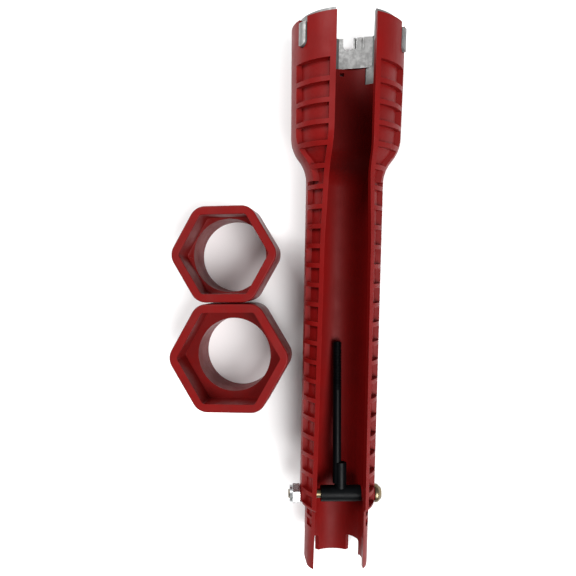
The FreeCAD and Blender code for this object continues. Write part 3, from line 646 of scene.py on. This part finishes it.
def name_rod_inputs(tree):
    """Gives the tree its named sizes, counts and material."""
    for name, size in ROD_SIZES:
        socket = tree.interface.new_socket(name, in_out="INPUT", socket_type="NodeSocketFloat")
        socket.default_value = size
    for name, count in ROD_COUNTS:
        socket = tree.interface.new_socket(name, in_out="INPUT", socket_type="NodeSocketInt")
        socket.default_value = count
    tree.interface.new_socket("Material", in_out="INPUT", socket_type="NodeSocketMaterial")
    tree.interface.new_socket("Geometry", in_out="OUTPUT", socket_type="NodeSocketGeometry")


print("rod sizes in mm:", {name: round(size / MM, 2) for name, size in ROD_SIZES})

# %% The rod's tree


def rolled_grid(tree, given):
    """A flat grid rolled up into the rod, with its two end rows drawn to a point."""
    grid = add_node(tree, "GeometryNodeMeshGrid", Size_X=1.0, Size_Y=1.0,
                    Vertices_X=given["Sides"], Vertices_Y=given["Rows"])
    place = tree.nodes.new("GeometryNodeInputPosition")
    parts = add_node(tree, "ShaderNodeSeparateXYZ", Vector=place.outputs[0])
    around = rule_math(tree, "ADD", parts.outputs["X"], 0.5)
    share = rule_math(tree, "ADD", parts.outputs["Y"], 0.5)
    along = rule_math(tree, "MULTIPLY", share, given["Length"])
    radius = rod_radius(tree, given, around, along)
    from_end = rule_math(tree, "SUBTRACT", 0.5, rule_math(tree, "ABSOLUTE", parts.outputs["Y"]))
    open_part = rule_math(tree, "GREATER_THAN", from_end, END_ROW)
    closed = rule_math(tree, "MULTIPLY", radius, open_part)
    angle = rule_math(tree, "MULTIPLY", around, 2 * math.pi)
    spot = add_node(tree, "ShaderNodeCombineXYZ",
                    X=rule_math(tree, "MULTIPLY", closed, rule_math(tree, "COSINE", angle)),
                    Y=rule_math(tree, "MULTIPLY", closed, rule_math(tree, "SINE", angle)), Z=along)
    rolled = add_node(tree, "GeometryNodeSetPosition", Geometry=grid.outputs["Mesh"],
                      Position=spot.outputs[0])
    return rolled.outputs[0]


def make_rod_tree():
    tree = bpy.data.node_groups.new("threaded_rod_rule", "GeometryNodeTree")
    name_rod_inputs(tree)
    given = tree.nodes.new("NodeGroupInput").outputs
    joined = add_node(tree, "GeometryNodeMergeByDistance", Geometry=rolled_grid(tree, given),
                      Distance=MERGE_DISTANCE)
    real = add_node(tree, "GeometryNodeRealizeInstances", Geometry=joined.outputs[0])
    coated = add_node(tree, "GeometryNodeSetMaterial", Geometry=real.outputs[0],
                      Material=given["Material"])
    end = tree.nodes.new("NodeGroupOutput")
    tree.links.new(coated.outputs[0], end.inputs["Geometry"])
    return tree


rod_tree = make_rod_tree()
print("rod tree:", len(rod_tree.nodes), "nodes")

# %% Helpers that grow a mesh


def grown_mesh(name, tree, **settings):
    """The plain mesh that a geometry tree gives with these inputs."""
    holder = bpy.data.objects.new(name, bpy.data.meshes.new(name))
    bpy.context.scene.collection.objects.link(holder)
    modifier = holder.modifiers.new("rule", "NODES")
    modifier.node_group = tree
    sockets = {item.name: item.identifier for item in tree.interface.items_tree
               if item.in_out == "INPUT"}
    for key, setting in settings.items():
        modifier[sockets[key.replace("_", " ")]] = setting
    bpy.context.view_layer.update()
    evaluated = holder.evaluated_get(bpy.context.evaluated_depsgraph_get())
    mesh = bpy.data.meshes.new_from_object(evaluated)
    holder.modifiers.clear()
    holder.data = mesh
    return holder


def outward(mesh):
    """Turns every face of a closed mesh outwards."""
    shape = bmesh.new()
    shape.from_mesh(mesh)
    bmesh.ops.recalc_face_normals(shape, faces=shape.faces)
    shape.to_mesh(mesh)
    shape.free()


print("mesh helpers ready")

# %% Grow the rod and lay it along its mount
tip_mount = [mount for mount in frame["record"]["mounts"] if mount["name"] == "rod_thread"][0]
rod_tip = Vector(tip_mount["pos_m"])
rod_way = Vector(tip_mount["axis"]).normalized()
rod = grown_mesh("rod_with_thread", rod_tree, Length=ROD_LENGTH, Material=black_oxide)
outward(rod.data)
rod_foot = rod_tip - rod_way * ROD_LENGTH
rod_turn = rod_way.to_track_quat("Z", "Y").to_matrix().to_4x4()
lay_down = Matrix.Translation(rod_foot) @ rod_turn
rod.data.transform(lay_down)
for face in rod.data.polygons:
    face.use_smooth = True
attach(rod, "tee")
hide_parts("threaded_rod")
print("rod:", len(rod.data.polygons), "faces, tip at", [round(c / MM, 1) for c in rod_tip])
